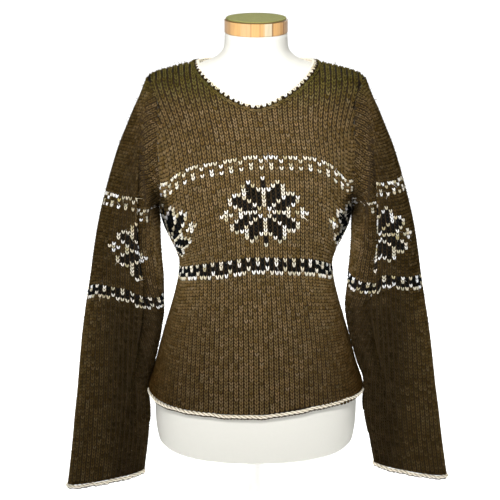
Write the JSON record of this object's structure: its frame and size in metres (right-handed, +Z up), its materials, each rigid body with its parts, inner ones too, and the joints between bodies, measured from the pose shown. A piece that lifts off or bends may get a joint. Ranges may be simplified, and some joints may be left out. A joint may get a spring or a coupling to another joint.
{
  "type": "norwegian sweater on a dress form",
  "caption": "Hand-knitted wool pullover with star and zigzag bands, V neck and long sleeves, worn by a limbless dress form on a low round stand.",
  "frame": {"origin": "centre of the underside of the stand's round base, on the surface that it stands on", "axes": "the front faces -Y, +X is on the right as seen from the front, +Z is up"},
  "size_m": [0.6561, 0.2666, 0.83],
  "materials": {
    "wool_knit": "heathered brown hand-knitted wool in stocking stitch, slightly hairy, with cream and black figures",
    "cream_wool": "cream wool yarn, picked up at the neck and twisted in two plies at the hem and cuffs",
    "form_cover": "smooth white stretched cotton jersey",
    "beech": "pale turned beech with a satin varnish",
    "felt": "olive felt disc",
    "stand_paint": "off-white powder coat"
  },
  "bodies": {
    "root": {"sweater_front": "wool_knit", "sweater_back": "wool_knit", "sleeve_left": "wool_knit", "sleeve_right": "wool_knit", "neck_edge": "cream_wool", "hem_edge": "cream_wool", "cuff_edge_left": "cream_wool", "cuff_edge_right": "cream_wool", "form_torso": "form_cover", "neck_cap": "beech", "cap_felt": "felt", "stand_post": "stand_paint", "stand_base": "stand_paint"}
  },
  "joints": []
}
